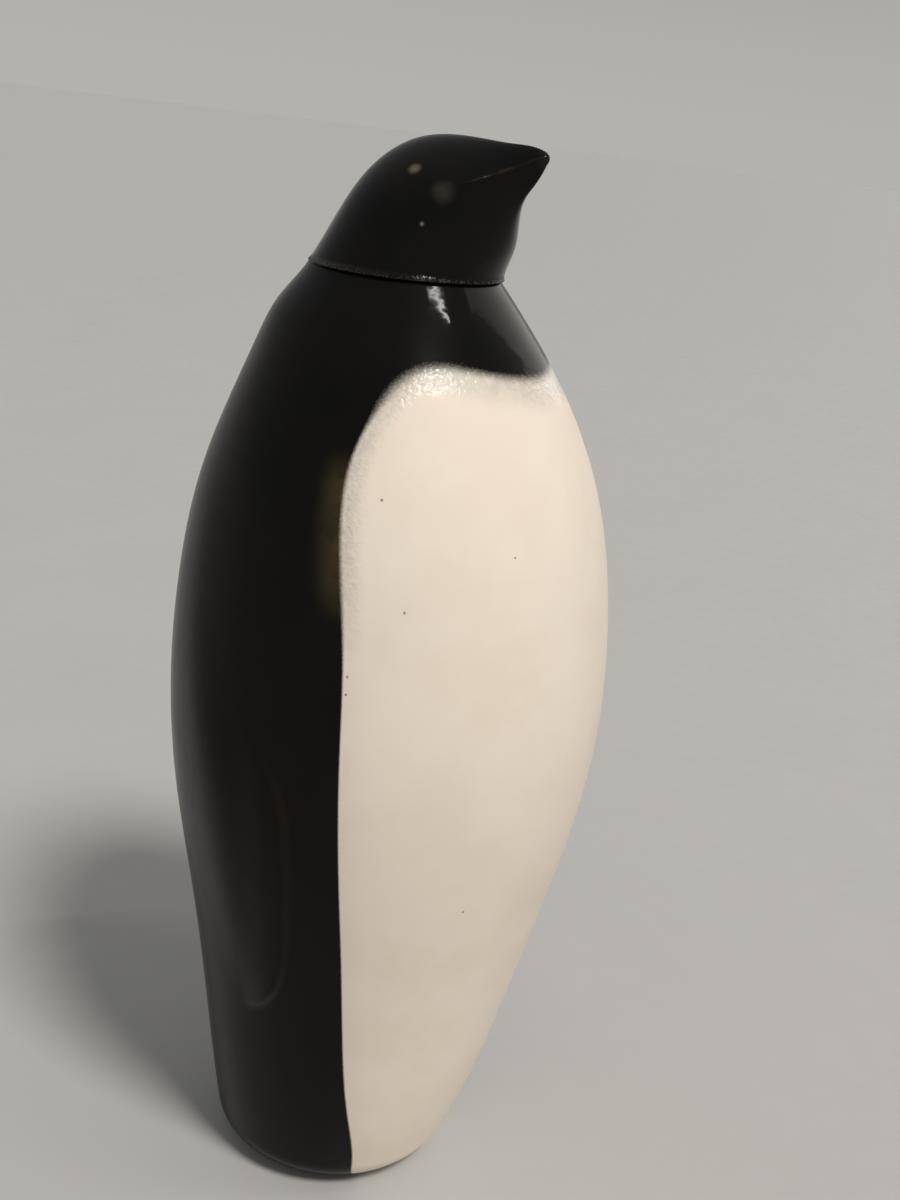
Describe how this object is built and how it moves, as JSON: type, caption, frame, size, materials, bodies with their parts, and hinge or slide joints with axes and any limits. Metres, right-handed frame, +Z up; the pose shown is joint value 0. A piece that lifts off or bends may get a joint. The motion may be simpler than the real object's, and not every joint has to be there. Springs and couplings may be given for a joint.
{
  "type": "penguin figurine",
  "caption": "Upright glazed ceramic penguin with a hollow body, low-relief wings and a beaked head that lifts out of the neck on a cork sleeve and turns.",
  "frame": {"origin": "on the surface the figurine stands on, under the middle of the belly", "axes": "+Z up along the body, the bird faces -Y, +X is its left side"},
  "size_m": [0.0874, 0.0849, 0.2095],
  "materials": {
    "biscuit": "dry unglazed body",
    "black_glaze": "deep gloss",
    "white_glaze": "satin gloss",
    "cork": "natural cork"
  },
  "bodies": {
    "root": {"body_casting": "biscuit", "back_glaze": "black_glaze", "breast_glaze": "white_glaze", "wing_left": "black_glaze", "wing_right": "black_glaze"},
    "cork": {"stopper_cork": "cork"},
    "head": {"head_casting": "biscuit", "head_glaze": "black_glaze"}
  },
  "joints": [
    {"name": "head_lift", "type": "slide", "parent": "root", "child": "cork", "axis": [0, 0, 1], "range_m": [0, 0.03]},
    {"name": "head_turn", "type": "hinge", "parent": "cork", "child": "head", "pos_m": [0, 0.00545, 0.1852], "axis": [0, 0, 1], "continuous": true}
  ]
}
